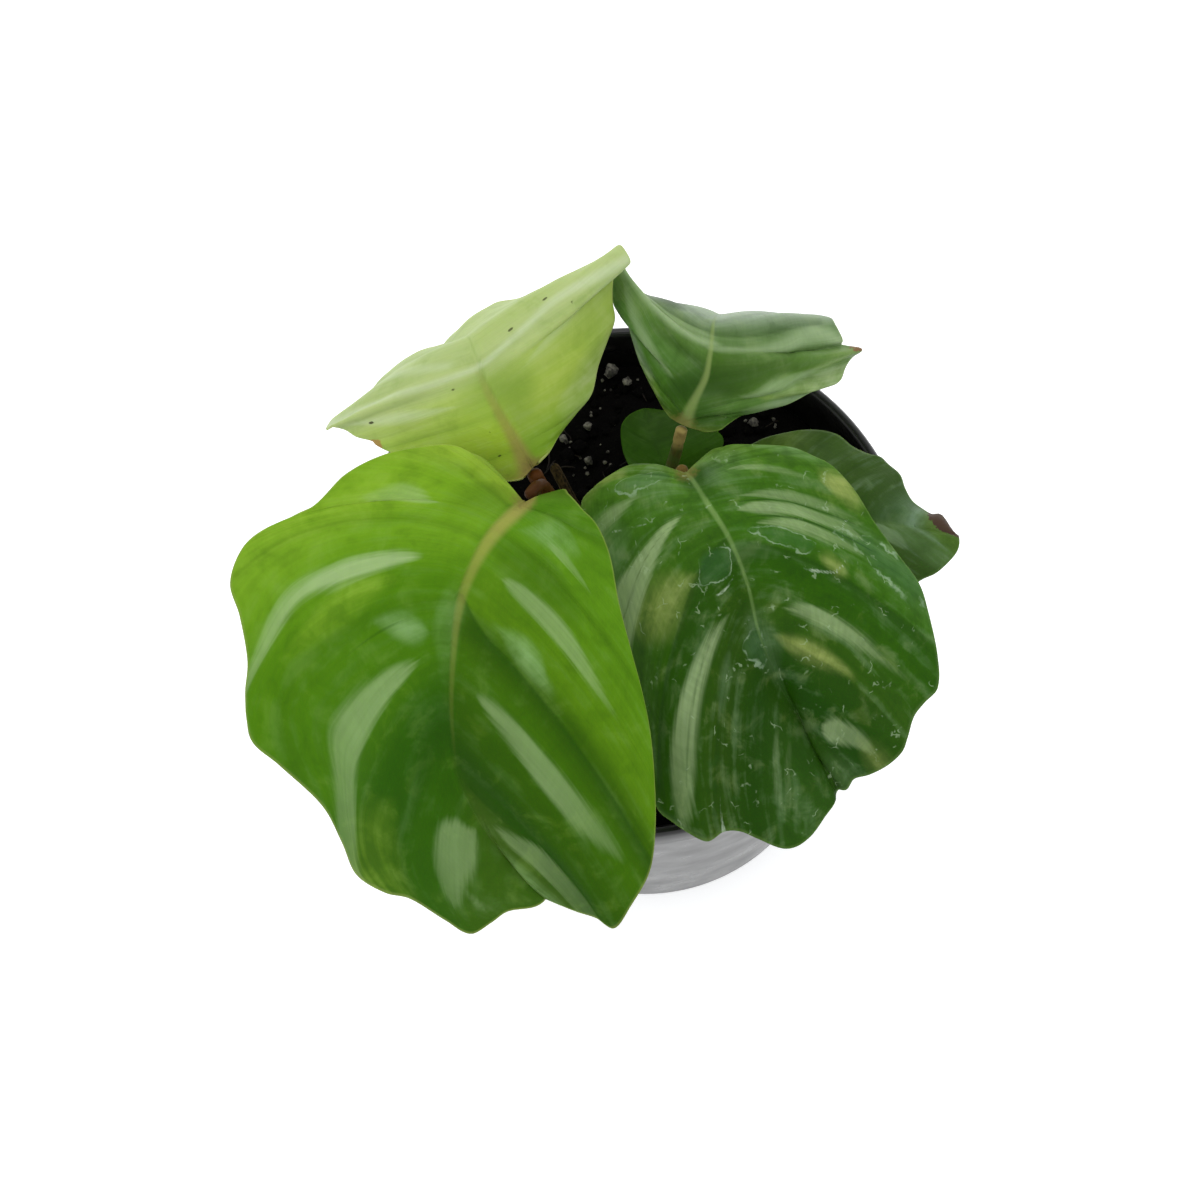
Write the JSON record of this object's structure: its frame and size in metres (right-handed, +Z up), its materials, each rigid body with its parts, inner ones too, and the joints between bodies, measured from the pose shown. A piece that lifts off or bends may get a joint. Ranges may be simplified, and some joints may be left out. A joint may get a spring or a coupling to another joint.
{
  "type": "potted calathea",
  "caption": "Young calathea house plant with broad striped leaves on short petioles, rooted in dark potting mix in a round black plastic nursery pot.",
  "frame": {"origin": "centre of the pot's base, on the surface that the pot stands on", "axes": "+Z up; the two largest blades lean to -Y, the front; +X is to the right seen from the front"},
  "size_m": [0.1456, 0.1387, 0.1455],
  "materials": {
    "pot_plastic": "satin black moulded polypropylene",
    "potting_mix": "damp dark peat and coir crumbs",
    "crown_sheath": "dry fibrous leaf sheath",
    "petiole": "smooth, reddish brown at the knee to green below",
    "leaf_light": "satin waxy, bright green with silver bands",
    "leaf_young": "satin waxy, pale yellow green with faint bands",
    "leaf_dark": "satin waxy, dark green with silver bands",
    "perlite": "rough white expanded grain"
  },
  "bodies": {
    "root": {"pot": "pot_plastic", "soil": "potting_mix", "crown": "crown_sheath", "old_sheath": "crown_sheath", "stem_front_left": "petiole", "stem_front_right": "petiole", "stem_back_left": "petiole", "stem_back_right": "petiole", "stem_side_right": "petiole", "stem_low": "petiole", "leaf_front_left": "leaf_light", "leaf_back_left": "leaf_young", "leaf_front_right": "leaf_dark", "leaf_back_right": "leaf_dark", "leaf_side_right": "leaf_dark", "leaf_low": "leaf_dark", "perlite_1": "perlite", "perlite_2": "perlite", "perlite_3": "perlite", "perlite_4": "perlite", "perlite_5": "perlite", "perlite_6": "perlite"}
  },
  "joints": []
}
